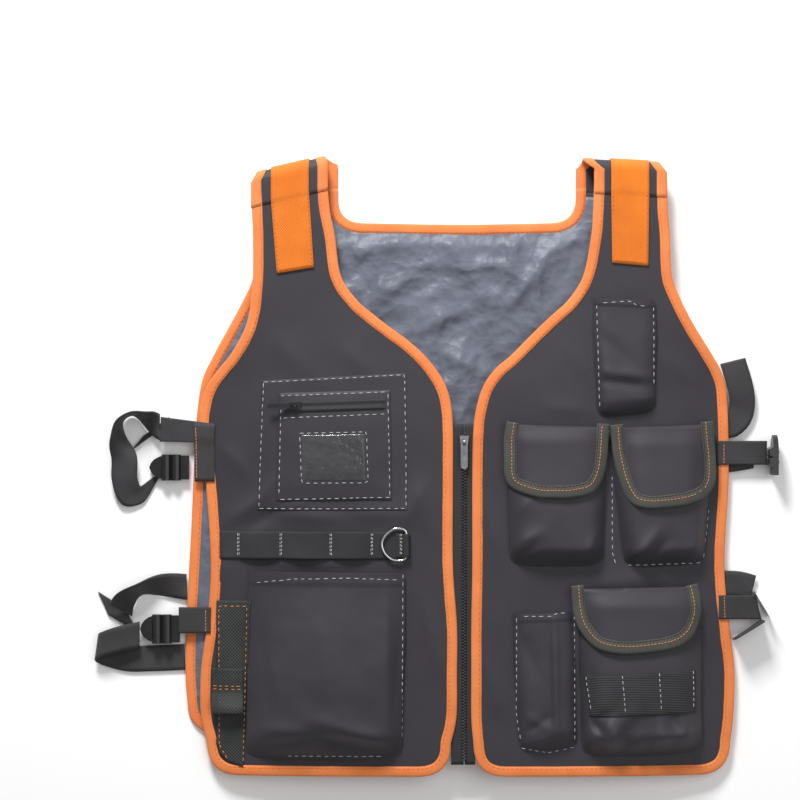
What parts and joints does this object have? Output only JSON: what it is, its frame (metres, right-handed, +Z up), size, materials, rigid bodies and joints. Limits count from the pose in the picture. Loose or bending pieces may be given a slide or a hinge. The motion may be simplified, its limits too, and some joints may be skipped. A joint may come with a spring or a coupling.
{
  "type": "utility work vest",
  "caption": "Cloth tool vest with a front zip, flap pockets, tool loops, a hanging ring and buckled side straps, laid flat on its back.",
  "frame": {"origin": "on the surface that the vest lies on, under the middle of its bounding box", "axes": "+X towards the wearer's left, +Y from the hem to the shoulders, +Z up through the front"},
  "size_m": [0.6858, 0.6212, 0.0504],
  "materials": {
    "body_cloth": "charcoal coated oxford cloth, matt with a faint sheen",
    "lining_cloth": "blue-grey crumpled coated back of the cloth",
    "orange_tape": "light orange ribbed binding tape",
    "orange_webbing": "bright orange twill webbing",
    "black_webbing": "near-black ribbed webbing",
    "flap_tape": "dark grey-green binding tape",
    "clear_film": "clear flexible film with glossy wrinkles",
    "black_plastic": "black moulded plastic",
    "zip_tape": "dark zip tape",
    "zip_metal": "dulled zip metal",
    "ring_metal": "bright plated wire"
  },
  "bodies": {
    "root": {"front_panel_right": "body_cloth", "front_binding_right": "orange_tape", "front_panel_left": "body_cloth", "front_binding_left": "orange_tape", "back_panel": "body_cloth", "back_binding": "orange_tape", "neck_binding": "orange_tape", "back_lining": "lining_cloth", "shoulder_webbing_right": "orange_webbing", "shoulder_webbing_left": "orange_webbing", "id_patch": "body_cloth", "id_pocket": "body_cloth", "id_window": "clear_film", "pocket_zip_tape": "zip_tape", "pocket_zip_teeth": "black_plastic", "pocket_zip_slider": "zip_metal", "zip_tape_right": "zip_tape", "zip_tape_left": "zip_tape", "zip_teeth": "zip_metal", "zip_slider": "zip_metal", "tool_loop_band": "black_webbing", "d_ring_tab": "black_webbing", "side_patch": "black_webbing", "hammer_loop": "black_webbing", "cargo_pocket": "body_cloth", "pen_pocket": "body_cloth", "upper_inner_pocket": "body_cloth", "upper_outer_pocket": "body_cloth", "lower_pocket": "body_cloth", "narrow_pocket": "body_cloth", "upper_inner_flap": "body_cloth", "upper_inner_flap_binding": "flap_tape", "upper_outer_flap": "body_cloth", "upper_outer_flap_binding": "flap_tape", "lower_flap": "body_cloth", "lower_flap_binding": "flap_tape", "elastic_loops": "black_webbing", "upper_right_stub": "black_webbing", "upper_right_strap": "black_webbing", "upper_right_tail": "black_webbing", "upper_right_buckle": "black_plastic", "lower_right_stub": "black_webbing", "lower_right_strap": "black_webbing", "lower_right_limb": "black_webbing", "lower_right_tail": "black_webbing", "lower_right_buckle": "black_plastic", "upper_left_stub": "black_webbing", "upper_left_strap": "black_webbing", "upper_left_limb": "black_webbing", "upper_left_buckle": "black_plastic", "lower_left_stub": "black_webbing", "lower_left_strap": "black_webbing", "lower_left_tail": "black_webbing", "lower_left_slide": "ring_metal"},
    "ring": {"d_ring": "ring_metal"},
    "front_pull": {"zip_pull": "zip_metal"},
    "pocket_pull": {"pocket_zip_pull": "black_plastic"}
  },
  "joints": [
    {"name": "ring_swing", "type": "hinge", "parent": "root", "child": "ring", "pos_m": [-0.0294, -0.0796, 0.03126], "axis": [0, 1, 0], "range_deg": [0, 150]},
    {"name": "front_pull_swing", "type": "hinge", "parent": "root", "child": "front_pull", "pos_m": [0.02829, 0.02341, 0.02993], "axis": [-1, 0, 0], "range_deg": [0, 150]},
    {"name": "pocket_pull_swing", "type": "hinge", "parent": "root", "child": "pocket_pull", "pos_m": [-0.14071, 0.05943, 0.03085], "axis": [0, 1, 0], "range_deg": [0, 150]}
  ]
}
